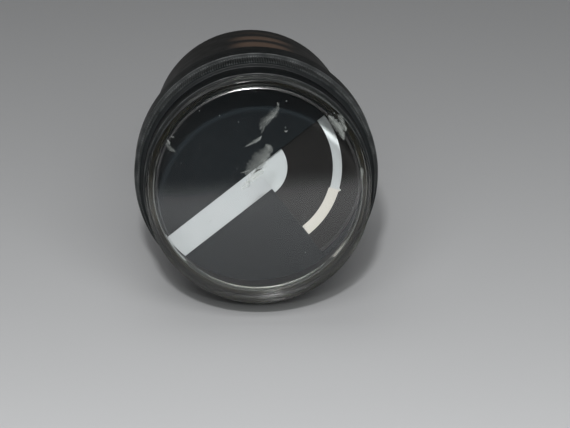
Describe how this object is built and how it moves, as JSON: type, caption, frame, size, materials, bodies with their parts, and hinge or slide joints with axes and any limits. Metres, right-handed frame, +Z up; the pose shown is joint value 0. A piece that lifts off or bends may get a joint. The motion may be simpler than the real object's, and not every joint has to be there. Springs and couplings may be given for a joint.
{
  "type": "panel position indicator",
  "caption": "Small round panel indicator: a spring-returned disc turns behind a fixed black dial with a white bar, under a thick clear cap in a knurled black case.",
  "frame": {"origin": "centre of the panel seat, the flat ring behind the knurled case, on the axis", "axes": "+Y along the axis towards the terminals, -Y out of the window, +Z up as the dial is read"},
  "size_m": [0.029, 0.0572, 0.029],
  "materials": {
    "satin_black": "satin black anodised, worn at the edges",
    "clear_acrylic": "clear moulded acrylic, polished, scuffed on the front",
    "brown_gasket": "aged brown rubber",
    "can_lacquer": "dark grey-brown lacquer, glossy",
    "dial_black": "matt blue-black paint",
    "disc_black": "matt warm black paint",
    "dial_white": "matt white paint",
    "disc_white": "matt white paint, slightly cream",
    "brass": "turned brass",
    "steel": "ground steel",
    "ruby": "polished jewel",
    "soft_iron": "dull soft iron",
    "magnet": "cast magnet alloy",
    "bobbin_brown": "moulded bobbin",
    "copper": "enamelled copper wire",
    "blued_steel": "blued spring steel",
    "aluminium": "turned aluminium",
    "black_rubber": "black rubber",
    "phenolic": "moulded dark brown phenolic",
    "tinned_brass": "tinned brass"
  },
  "bodies": {
    "case": {"front_cap": "clear_acrylic", "cap_seal": "brown_gasket", "front_case": "satin_black", "body_can": "can_lacquer", "dial_plate": "dial_black", "dial_bar_mark": "dial_white", "front_jewel": "ruby", "rear_jewel": "ruby", "front_plate": "brass", "rear_plate": "brass", "front_spacers": "aluminium", "rear_spacers": "aluminium", "through_bolts": "steel", "through_bolt_nuts": "steel", "stator_core": "soft_iron", "coil_bobbins": "bobbin_brown", "coil_windings": "copper", "hairspring": "blued_steel", "spring_stud": "steel", "stop_pins": "steel", "movement_spacer": "aluminium", "rear_gasket": "black_rubber", "rear_cover": "phenolic", "terminal_posts": "tinned_brass", "coil_leads": "copper"},
    "rotor": {"indicator_disc": "disc_black", "disc_marks": "disc_white", "disc_hub": "brass", "rotor_shaft": "steel", "rotor_magnet": "magnet", "magnet_sleeve": "brass", "spring_collet": "brass", "stop_arm": "steel"}
  },
  "joints": [
    {"name": "disc_turn", "type": "hinge", "parent": "case", "child": "rotor", "pos_m": [0, 0, 0], "axis": [0, 1, 0], "range_deg": [0, 90], "stiffness_Nm_per_rad": 0.00001, "springref_deg": -17.19, "deforming": ["hairspring"]}
  ]
}
